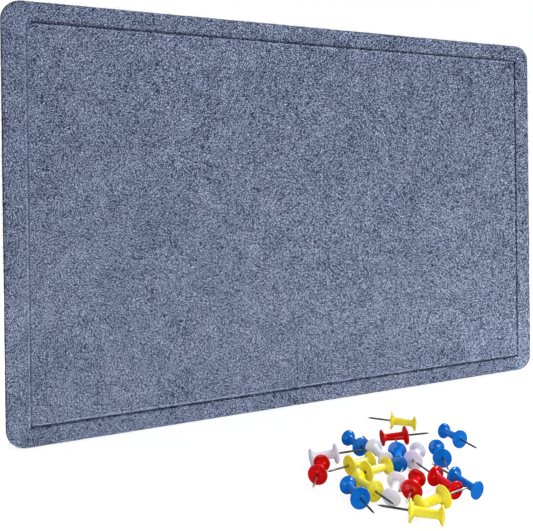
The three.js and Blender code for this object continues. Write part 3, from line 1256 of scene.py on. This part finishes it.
    def build(self) -> bpy.types.Object:
        """Makes the panel from its section, and moves its points along their normals by two noises.

        The tone grows evenly from the top to the bottom, as painted light from below, and falls
        evenly from left to right, as painted shade. By the square of the way from the middle it
        also grows towards both ends, as painted light, and falls towards both sides, as painted
        shade.

        Returns:
            The panel.
        """
        low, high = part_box(self.node)
        size = high - low
        slab = Slab((low + high) / 2, size.x, size.z, size.y, self.across, self.up)
        skin = slab.skin(self.section(size.y))
        relief = self.lump * lattice_noise(skin.points, self.lump_width, SEED)
        relief += self.pit * lattice_noise(skin.points, self.pit_width, PIT_SEED)
        skin.points += skin.normals() * relief[:, None]
        skin.points[:, 2] = np.maximum(skin.points[:, 2], low.z)
        height = (skin.points[:, 2] - low.z) / size.z
        # Painted light and shade that stand in for how the light falls over the face
        skin.tone += self.lighter_below * (self.even_height - height)
        skin.tone += self.lighter_ends * (2 * height - 1) ** 2
        skin.tone -= self.darker_right * skin.points[:, 0]
        skin.tone -= self.darker_sides * (2 * skin.points[:, 0] / size.x) ** 2
        self.skin = skin
        return skin.piece("felt_board_panel", self.finish.material())


@dataclass
class LooseFibres:
    """Fibres that stand proud of the felt, along its edges and on its faces."""

    felt: Skin
    floor: float
    finish: FibreFinish = FibreFinish()
    edge_count: int = 3600
    face_count: int = 6000
    edge_zone: float = 0.003
    length: tuple[float, float] = (0.0008, 0.0024)
    thickness: tuple[float, float] = (0.00002, 0.0001)
    # Strands on the edges are darker than those on the faces, as painted shade along the edges
    edge_shades: tuple[float, float] = (0.0, 0.6)
    face_shades: tuple[float, float] = (0.2, 1.0)
    sunk: float = 0.0001
    edge_lift: float = 0.55
    face_lift: float = 0.16
    lift_spread: float = 0.2
    least_lift: float = 0.05
    edge_normal: float = 0.9
    face_normal: float = 0.97
    bend: float = 0.55
    bend_slant: float = 0.3
    fineness: int = 3
    narrowing: float = 0.6
    steps: int = 4
    sides: int = 3

    def strands(
        self, roots: np.ndarray, normals: np.ndarray, lift: float, shades: tuple[float, float],
        draw: np.random.Generator,
    ) -> Skin:
        """Thin curved strands, one from each root.

        A strand's middle line is root + L (t d + t^2 b), where L is its length, t runs from 0 to 1,
        d is a unit way between the surface and its normal, and b bends it back. Its section is a
        triangle that narrows towards the tip, and both ends are closed. The larger the fineness is,
        the fewer strands are thick.

        Args:
            roots: Where the strands leave the felt.
            normals: The felt's normals there.
            lift: How steeply they leave it: 0 lies flat and 1 stands up.
            shades: Darkest and lightest tone of a strand.
            draw: Source of the random numbers.

        Returns:
            The strands as one surface with a closed part for each.
        """
        count = len(roots)
        flat = np.cross(normals, draw.normal(size=(count, 3)))
        flat /= np.maximum(np.linalg.norm(flat, axis=1, keepdims=True), TINY)
        rise = np.clip(draw.normal(lift, self.lift_spread, (count, 1)), self.least_lift, 1)
        way = flat * (1 - rise) + normals * rise
        way /= np.linalg.norm(way, axis=1, keepdims=True)
        across = np.cross(way, flat + normals * self.bend_slant)
        across /= np.maximum(np.linalg.norm(across, axis=1, keepdims=True), TINY)
        over = np.cross(way, across)
        bend = (across * draw.normal(0, 1, (count, 1)) - normals * rise) * self.bend
        length = draw.uniform(*self.length, (count, 1, 1))
        t = np.linspace(0, 1, self.steps)[None, :, None]
        line = roots[:, None] - normals[:, None] * self.sunk
        line = line + length * (t * way[:, None] + t * t * bend[:, None])
        angle = np.arange(self.sides) * 2 * math.pi / self.sides
        thin, thick = self.thickness
        girth = between(thin, thick, draw.uniform(0, 1, (count, 1, 1, 1)) ** self.fineness)
        radius = girth * (1 - self.narrowing * t[..., None])
        sideways = np.cos(angle)[:, None] * across[:, None, None]
        upwards = np.sin(angle)[:, None] * over[:, None, None]
        points = (line[:, :, None] + radius * (sideways + upwards)).reshape(-1, 3)
        points[:, 2] = np.maximum(points[:, 2], self.floor)
        number = np.arange(count * self.steps * self.sides).reshape(count, self.steps, self.sides)
        following = np.roll(number, -1, axis=2)
        sides = [number[:, :-1], number[:, 1:], following[:, 1:], following[:, :-1]]
        quads = np.stack(sides, axis=3).reshape(-1, 4)
        caps = np.vstack([number[:, 0], number[:, -1, ::-1]])
        tone = np.repeat(draw.uniform(*shades, count), self.steps * self.sides)
        return Skin(points, quads, caps, tone)

    def build(self) -> bpy.types.Object:
        """Picks roots on the felt's own points, denser round the edges, and grows a strand on each.

        A point belongs to the edge where its normal turns away from Y, and to a face where it
        doesn't.

        Returns:
            The fibres as one piece.
        """
        draw = np.random.default_rng(SEED)
        normals = self.felt.normals()
        plan = self.felt.points[:, [0, 2]]
        border = np.minimum(plan - plan.min(axis=0), plan.max(axis=0) - plan).min(axis=1)
        facing = np.abs(normals[:, 1])
        edge = np.flatnonzero((facing < self.edge_normal) & (border < self.edge_zone))
        face = np.flatnonzero(facing > self.face_normal)
        grown = []
        for zone, count, lift, shades in (
            (edge, self.edge_count, self.edge_lift, self.edge_shades),
            (face, self.face_count, self.face_lift, self.face_shades),
        ):
            chosen = draw.choice(zone, count, replace=False)
            roots = self.felt.points[chosen]
            grown.append(self.strands(roots, normals[chosen], lift, shades, draw))
        return grown[0].joined(grown[1]).piece("felt_board_fibres", self.finish.material())


@dataclass
class MountingPad:
    """One foam pad on the back, with a paper liner that overhangs it at one side."""

    corner: Corner
    foam: bpy.types.Material
    paper: bpy.types.Material
    cells: int = 24
    pad_corner: float = 0.0012
    liner_corner: float = 0.0008
    field_share: float = 1.5
    bulge: float = 0.00015
    sag: float = 0.00008
    sag_width: float = 0.006
    curl: float = 0.0007
    curl_inside: float = 0.7
    curl_outside: float = 1.2
    steps: int = 6

    @property
    def pad_node(self) -> str:
        """The pad's CAD node."""
        return f"mounting_pad_{self.corner.value}"

    @property
    def liner_node(self) -> str:
        """The liner's CAD node."""
        return f"release_liner_{self.corner.value}"

    def slab_skin(self, node: str, corner_radius: float, bulge: float) -> Skin:
        """Slab that fills a node's box, with a wall that swells between its two faces.

        The wall's inset is the bulge times one less the sine of the way through the thickness. The
        gridded fields, whose corners are sharp, start further in, by a share of the corner radius.

        Args:
            node: The CAD node whose box it fills.
            corner_radius: Radius of its corners.
            bulge: How far the faces' edges lie inside the middle of the wall.

        Returns:
            The surface.
        """
        low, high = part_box(node)
        size = high - low
        share = np.linspace(0, 1, self.steps)
        inset = bulge * (1 - np.sin(share * math.pi))
        edge = np.full(1, corner_radius * self.field_share)
        inset = np.concatenate([edge, inset, edge])
        radius = np.concatenate([[0.0], np.full(self.steps, corner_radius), [0.0]])
        depth = np.concatenate([[0.0], share * size.y, [size.y]])
        slab = Slab((low + high) / 2, size.x, size.z, size.y, self.cells, self.cells)
        return slab.skin(Section(inset, inset, radius, depth, np.zeros((len(depth), len(Side)))))

    def pad(self) -> bpy.types.Object:
        """Foam pad, which is a little thinner in places.

        Returns:
            The pad.
        """
        skin = self.slab_skin(self.pad_node, self.pad_corner, self.bulge)
        low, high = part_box(self.pad_node)
        wave = (1 + lattice_noise(skin.points, self.sag_width, PAD_SEED)) / 2
        inside = np.clip((skin.points[:, 1] - low.y) / (high.y - low.y), 0, 1)
        skin.points[:, 1] -= self.sag * wave * inside
        return skin.piece(f"foam_{self.pad_node}", self.foam)

    def liner(self) -> bpy.types.Object:
        """Paper liner, whose free tab curls away from the board.

        A point past the pad's side is lifted by the curl times the square of its way along the tab,
        and more the nearer it is to one of the tab's corners.

        Returns:
            The liner.
        """
        skin = self.slab_skin(self.liner_node, self.liner_corner, 0.0)
        low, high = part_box(self.liner_node)
        pad_low, pad_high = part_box(self.pad_node)
        right = (low.x + high.x) / 2 > 0
        tab = pad_low.x - low.x if right else high.x - pad_high.x
        past = pad_low.x - skin.points[:, 0] if right else skin.points[:, 0] - pad_high.x
        share = np.clip(past / tab, 0, 1)
        corner = np.abs(skin.points[:, 2] - (low.z + high.z) / 2) / (high.z - low.z) * 2
        curl = self.curl * between(self.curl_inside, self.curl_outside, corner**2)
        skin.points[:, 1] += curl * share**2
        return skin.piece(f"paper_{self.liner_node}", self.paper)


@dataclass
class PushPin:
    """One push pin: a moulded head and the steel needle in it.

    Stations run along the pin's axis towards the needle's point, from the upper edge of the
    flange's rim.
    """

    number: int
    plastic: bpy.types.Material
    steel: bpy.types.Material
    cap_top: float = -0.0111
    cap_rim_top: float = -0.0107
    cap_rim_foot: float = -0.01
    grip_top: float = -0.0086
    grip_foot: float = -0.0011
    flange_foot: float = 0.0008
    boss_foot: float = 0.0011
    seat: float = -0.0049
    point: float = 0.0119
    taper: float = 0.0022
    cap_radius: float = 0.0034
    flange_radius: float = 0.0039
    cap_grip_radius: float = 0.00145
    flange_grip_radius: float = 0.0017
    boss_radius: float = 0.0013
    bore_radius: float = 0.00043
    needle_radius: float = 0.0004
    rim_round: float = 0.0003
    rim_fullness: float = 0.8
    gate_radius: float = 0.00055
    gate_depth: float = 0.00007
    hollowness: float = 1.7
    recess: float = 0.00012
    bore_excess: float = 0.00005375
    seam: float = 0.000025
    seam_width: float = 0.0000625
    seam_start: float = 1.3
    seam_crowding: float = 0.72
    root_chamfer: float = 0.1
    point_curve: float = 1.25
    point_narrowing: float = 0.93
    point_share: float = 0.985
    dome_steps: int = 16
    rim_steps: int = 9
    cone_steps: int = 11
    grip_steps: int = 9
    recess_steps: int = 9
    shaft_steps: int = 8
    point_steps: int = 12
    turns: int = 72
    needle_turns: int = 24

    @property
    def label(self) -> str:
        """The pin's number as its nodes' names have it."""
        return f"{self.number:02d}"

    def placing(self) -> Matrix:
        """Where the pin lies: its axis runs from the middle of the needle's root to its point.

        The point is the one of the needle's points that is farthest from the head's middle, and the
        root is the ring of points farthest from there.

        Returns:
            The matrix that carries the pin's own axes there.
        """
        needle = frame["nodes"][f"pin_{self.label}_needle"].data
        head_low, head_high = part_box(f"pin_{self.label}_head")
        points = np.empty(len(needle.vertices) * 3)
        needle.vertices.foreach_get("co", points)
        points = np.unique(points.reshape(-1, 3).round(ROUNDING), axis=0)
        from_head = np.linalg.norm(points - np.array((head_low + head_high) / 2), axis=1)
        tip = points[from_head.argmax()]
        from_tip = np.linalg.norm(points - tip, axis=1)
        root = points[from_tip > from_tip.max() - self.needle_radius].mean(axis=0)
        return self.along(Vector(tip - root).normalized(), Vector(tip))

    def along(self, axis: Vector, tip: Vector) -> Matrix:
        """Matrix that carries the pin's own axes to a place.

        Args:
            axis: Unit way from the cap to the needle's point.
            tip: The needle's point.

        Returns:
            The matrix, whose third column is the axis and whose seam lies level.
        """
        level = Vector((0, 0, 1)).cross(axis).normalized()
        turn = Matrix((level, axis.cross(level), axis)).transposed().to_4x4()
        return Matrix.Translation(tip - axis * self.point) @ turn

    def head_outline(self) -> np.ndarray:
        """Outline of the head, from the middle of the cap to the end of the needle's bore.

        The cap is a shallow parabola with a small gate mark, and ends in a half-round rim. A hollow
        cone leads to the grip, whose radius grows evenly, and another leads out to the flange and
        its half-round rim. The flange's underside is a little hollow, up to the boss.

        Returns:
            Radius and station of each point.
        """
        cap_edge = self.cap_radius - self.rim_round
        r = np.linspace(0, cap_edge, self.dome_steps)
        gate = self.gate_depth * np.exp(-((r / self.gate_radius) ** 4))
        dome = outline(r, gate + between(self.cap_top, self.cap_rim_top, (r / cap_edge) ** 2))
        cap_rim = self.half_round(cap_edge, self.cap_rim_top, self.cap_rim_foot)
        way = np.linspace(0, 1, self.cone_steps)[1:]
        hollow = (1 - way) ** self.hollowness
        cap_cone = outline(
            between(self.cap_grip_radius, cap_edge, hollow),
            between(self.cap_rim_foot, self.grip_top, way),
        )
        along = np.linspace(0, 1, self.grip_steps)[1:-1]
        grip = outline(
            between(self.cap_grip_radius, self.flange_grip_radius, along),
            between(self.grip_top, self.grip_foot, along),
        )
        flange_edge = self.flange_radius - self.rim_round
        flange_cone = outline(
            between(self.flange_grip_radius, flange_edge, hollow[::-1]), self.grip_foot * way[::-1]
        )[:-1]
        flange_rim = self.half_round(flange_edge, 0.0, self.flange_foot)
        inward = np.linspace(0, 1, self.recess_steps)[1:]
        underside = outline(
            between(flange_edge, self.boss_radius, inward),
            self.flange_foot - self.recess * np.sin(inward * math.pi),
        )
        boss_height = self.boss_foot - self.flange_foot
        boss = BOSS_OUTLINE * (self.boss_radius, boss_height) + (0, self.flange_foot)
        mouth = MOUTH_OUTLINE * (self.bore_radius, boss_height) + (0, self.flange_foot)
        end = self.seat - self.bore_excess
        bore = np.array([[self.bore_radius, self.seat / 2], [self.bore_radius, end], [0.0, end]])
        cap = [dome, cap_rim, cap_cone]
        flange = [flange_cone, flange_rim, underside]
        return np.vstack([*cap, grip, *flange, boss, mouth, bore])

    def half_round(self, edge: float, top: float, foot: float) -> np.ndarray:
        """Half-round rim: over half a turn, its radius grows by a power of the cosine.

        Args:
            edge: Radius where the rim starts and ends.
            top: Station of its upper end.
            foot: Station of its lower end.

        Returns:
            Radius and station of each point, the first left out.
        """
        half = np.linspace(-math.pi / 2, math.pi / 2, self.rim_steps)
        radius = edge + self.rim_round * np.cos(half) ** self.rim_fullness
        return outline(radius, (top + foot) / 2 + (foot - top) / 2 * np.sin(half))[1:]

    def head(self, place: Matrix) -> bpy.types.Object:
        """Moulded head. Down its outside run two fine seams, where its points stand further out.

        The copies of the outline crowd near the seams: the turn a becomes a - c / 2 sin 2a.

        Args:
            place: Where the pin lies.

        Returns:
            The head.
        """
        even = np.arange(self.turns) * 2 * math.pi / self.turns
        turns = even - self.seam_crowding / 2 * np.sin(2 * even)
        skin = revolved(self.head_outline(), turns)
        distance = np.linalg.norm(skin.points[:, :2], axis=1)
        around = np.arctan2(skin.points[:, 1], skin.points[:, 0])
        near = np.exp(-((np.sin(around) * distance / self.seam_width) ** 2))
        outside = distance > self.bore_radius * self.seam_start
        grown = 1 + np.where(outside, self.seam * near / np.maximum(distance, TINY), 0)
        skin.points[:, :2] *= grown[:, None]
        return self.placed(skin, place, f"push_pin_{self.label}_head", self.plastic)

    def needle(self, place: Matrix) -> bpy.types.Object:
        """Needle: a straight wire whose last stretch narrows to a blunt, rounded point.

        At the share s of that stretch the radius is the wire's times 1 - n s^c, for the narrowing n
        and the curve c.

        Args:
            place: Where the pin lies.

        Returns:
            The needle.
        """
        shoulder = self.point - self.taper
        way = np.linspace(0, 1, self.point_steps)
        narrowed = self.needle_radius * (1 - way**self.point_curve * self.point_narrowing)
        cone = outline(narrowed, shoulder + self.taper * self.point_share * way)
        chamfer = self.needle_radius * self.root_chamfer
        root = np.array([[0.0, self.seat], [self.needle_radius - chamfer, self.seat]])
        down = np.linspace(self.seat + chamfer, shoulder, self.shaft_steps)[:-1]
        shaft = outline(np.full(len(down), self.needle_radius), down)
        profile = np.vstack([root, shaft, cone, [[0.0, self.point]]])
        turns = np.arange(self.needle_turns) * 2 * math.pi / self.needle_turns
        skin = revolved(profile, turns)
        return self.placed(skin, place, f"push_pin_{self.label}_needle", self.steel)

    def placed(
        self, skin: Skin, place: Matrix, name: str, material: bpy.types.Material
    ) -> bpy.types.Object:
        """Carries a surface to the pin's place, and keeps its own axes for the finish.

        Args:
            skin: The surface in the pin's own axes.
            place: Where the pin lies.
            name: The piece's name.
            material: Its finish.

        Returns:
            The piece.
        """
        skin.local = skin.points + PATTERN_STEP * self.number
        turn = np.array(place.to_3x3())
        skin.points = skin.points @ turn.T + np.array(place.translation)
        return skin.piece(name, material)


@dataclass(frozen=True)
class Viewpoint:
    """The photograph's camera, in pixels of its frame and in the model's axes."""

    frame_width: float = 533.0
    focal: float = 588.0
    horizon_rise: float = 80.0
    sensor: float = 36.0
    nearest: float = 0.01
    farthest: float = 20.0
    place: tuple[float, float, float] = (-0.13444, -0.2894, 0.11688)
    heading: float = 21.05
    pitch: float = -0.16
    roll: float = -0.691

    def build(self) -> bpy.types.Object:
        """Makes the camera and gives it to the scene.

        Returns:
            The camera.
        """
        lens = bpy.data.cameras.new("viewpoint")
        lens.sensor_width = self.sensor
        lens.lens = self.focal / self.frame_width * self.sensor
        lens.shift_y = -self.horizon_rise / self.frame_width
        lens.clip_start, lens.clip_end = self.nearest, self.farthest
        camera = bpy.data.objects.new("viewpoint", lens)
        turn = Matrix.Rotation(math.radians(-self.heading), 4, "Z")
        turn @= Matrix.Rotation(math.radians(90 + self.pitch), 4, "X")
        turn @= Matrix.Rotation(math.radians(self.roll), 4, "Z")
        camera.matrix_world = Matrix.Translation(self.place) @ turn
        bpy.context.scene.collection.objects.link(camera)
        bpy.context.scene.camera = camera
        return camera


@dataclass(frozen=True)
class Lamp:
    """Soft square lamp."""

    name: str
    power: float
    size: float
    place: tuple[float, float, float]
    colour: tuple[float, float, float] = (1.0, 1.0, 1.0)

    def build(self, target: Sequence[float]) -> None:
        """Makes the lamp and turns it towards a place.

        Args:
            target: Where it looks.
        """
        light = bpy.data.lights.new(self.name, "AREA")
        light.energy, light.size, light.color = self.power, self.size, self.colour
        made = bpy.data.objects.new(self.name, light)
        made.location = self.place
        way = Vector(target) - Vector(self.place)
        made.rotation_euler = way.to_track_quat("-Z", "Y").to_euler()
        bpy.context.scene.collection.objects.link(made)


@dataclass(frozen=True)
class Studio:
    """White studio: a floor that keeps soft shadows, and even light."""

    floor_size: float = 8.0
    floor_depth: float = -0.0001
    floor_bounce: float = 0.9
    mirrored_floor: float = 0.06
    floor_shade: float = 0.3
    floor_glow: float = 0.84
    near: float = 0.35
    far: float = 0.9
    sky: float = 0.59
    mirrored_sky: float = 0.03
    lamps: tuple[Lamp, ...] = (
        Lamp("key", 4.8, 0.35, (1.0, -1.0, 0.45), (1.0, 0.97, 0.95)),
        Lamp("fill", 3.3, 1.0, (-1.2, -1.0, 0.55)),
        Lamp("glint", 26.0, 0.45, (1.1, 0.35, 1.0)),
    )
    target: tuple[float, float, float] = (0.0, 0.0, 0.08)

    def seen(self, wiring: Wiring) -> Socket:
        """1 for rays from the camera, straight or through glass, and 0 for all others."""
        path = wiring.add("LightPath").outputs
        return wiring.math("MAXIMUM", path["Is Camera Ray"], path["Is Transmission Ray"])

    def floor(self) -> bpy.types.Object:
        """Floor that shows white, darker in a shadow near the object and evenly white far off.

        Returns:
            The floor.
        """
        low, high = MODEL_BOX
        half = self.floor_size / 2
        corners = [(-half, -half), (half, -half), (half, half), (-half, half)]
        mesh = bpy.data.meshes.new("studio_floor")
        mesh.from_pydata([(x, y, low.z + self.floor_depth) for x, y in corners], [], [(0, 1, 2, 3)])
        material = bpy.data.materials.new("studio_floor")
        material.use_nodes = True
        wiring = Wiring(material.node_tree)
        output = material.node_tree.nodes["Material Output"]
        place = wiring.add("TexCoord").outputs["Object"]
        away = wiring.add("VectorMath", {0: place}, operation="LENGTH").outputs["Value"]
        ends = {"From Min": self.near, "From Max": self.far, "To Min": 1.0, "To Max": 0.0}
        ends["Value"] = away
        nearness = wiring.add("MapRange", ends, interpolation_type="SMOOTHSTEP").outputs["Result"]
        reflected = wiring.math("MULTIPLY", nearness, self.floor_shade)
        glowing = wiring.span(nearness, 1.0, self.floor_glow)
        mirrored = wiring.add("LightPath").outputs["Is Glossy Ray"]
        bounced = wiring.span(mirrored, self.floor_bounce, self.mirrored_floor)
        plain = wiring.add("BsdfDiffuse", {"Color": bounced}).outputs[0]
        shade = wiring.add("BsdfDiffuse", {"Color": reflected}).outputs[0]
        lift = wiring.add("Emission", {"Strength": glowing}).outputs[0]
        shown = wiring.add("AddShader", {0: shade, 1: lift}).outputs[0]
        mixed = wiring.add("MixShader", {0: self.seen(wiring), 1: plain, 2: shown}).outputs[0]
        wiring.feed(output, {"Surface": mixed})
        mesh.materials.append(material)
        floor = bpy.data.objects.new("studio_floor", mesh)
        bpy.context.scene.collection.objects.link(floor)
        return floor

    def world(self) -> None:
        """White surroundings that light the scene less than they show, and a mirror still less."""
        world = bpy.data.worlds.new("studio_sky")
        world.use_nodes = True
        wiring = Wiring(world.node_tree)
        mirrored = wiring.add("LightPath").outputs["Is Glossy Ray"]
        lit = wiring.span(mirrored, self.sky, self.mirrored_sky)
        strength = wiring.math("MAXIMUM", self.seen(wiring), lit)
        background = world.node_tree.nodes["Background"]
        wiring.feed(background, {"Color": (1.0, 1.0, 1.0, 1.0), "Strength": strength})
        bpy.context.scene.world = world

    def build(self) -> None:
        """Makes floor, surroundings and lamps, and keeps colours as they are written."""
        self.floor()
        self.world()
        for lamp in self.lamps:
            lamp.build(self.target)
        bpy.context.scene.view_settings.view_transform = "Standard"


PLASTICS = {
    "yellow_plastic": PlasticFinish("yellow_plastic", "fce626", "fbf154", 0.22, (1.0, 0.7, 0.1)),
    "red_plastic": PlasticFinish("red_plastic", "cc0006", "e60208", 0.12, (1.0, 0.15, 0.1)),
    "blue_plastic": PlasticFinish("blue_plastic", "005fc0", "0082e8", 0.12, (0.1, 0.35, 1.0)),
    "white_plastic": PlasticFinish("white_plastic", "e8e6ff", "f5f3ff", 0.6, (1.0, 0.9, 1.0)),
}


def slots_by_node() -> dict[str, str]:
    """Material slot of each CAD node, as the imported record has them."""
    return {part["node"]: part["material_slot"] for part in frame["record"]["subparts"]}


def dress(piece: bpy.types.Object, body: str, slot: str, *nodes: str) -> bpy.types.Object:
    """Makes a piece ride on a body and stand for CAD nodes.

    Args:
        piece: The piece.
        body: The body it moves with.
        slot: The record's material slot. Not used.
        nodes: The CAD nodes it replaces.

    Returns:
        The piece.
    """
    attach(piece, body)
    if nodes:
        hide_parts(*nodes)
    LOG.info("%s rides on %s: %d faces", piece.name, body, len(piece.data.polygons))
    return piece


def build_board() -> None:
    """Makes the felt panel, its loose fibres and the pads and liners on its back."""
    panel = FeltPanel()
    dress(panel.build(), "board", "felt", panel.node)
    fibres = LooseFibres(panel.skin, MODEL_BOX[0].z)
    dress(fibres.build(), "board", "felt")
    foam, paper = FoamFinish().material(), PaperFinish().material()
    for corner in Corner:
        pad = MountingPad(corner, foam, paper)
        foam_piece = dress(pad.pad(), "board", "foam", pad.pad_node)
        dress(pad.liner(), f"liner_{corner.value}", "liner", pad.liner_node)


def build_pins() -> None:
    """Makes every push pin that the model has, each in its own colour."""
    slots = slots_by_node()
    steel = SteelFinish().material()
    plastics = {slot: finish.material() for slot, finish in PLASTICS.items()}
    for body in sorted(body for body in frame["bodies"] if body.startswith("pin_")):
        number = int(body.rsplit("_", 1)[1])
        slot = slots[f"{body}_head"]
        pin = PushPin(number, plastics[slot], steel)
        place = pin.placing()
        dress(pin.head(place), body, slot, f"{body}_head")
        dress(pin.needle(place), body, "steel", f"{body}_needle")


def main() -> None:
    """Builds the camera, the studio, the board and the pins."""
    logging.basicConfig(level=logging.INFO, format="%(name)s: %(message)s")
    Viewpoint().build()
    Studio().build()
    build_board()
    build_pins()


if __name__ == "__main__":
    main()
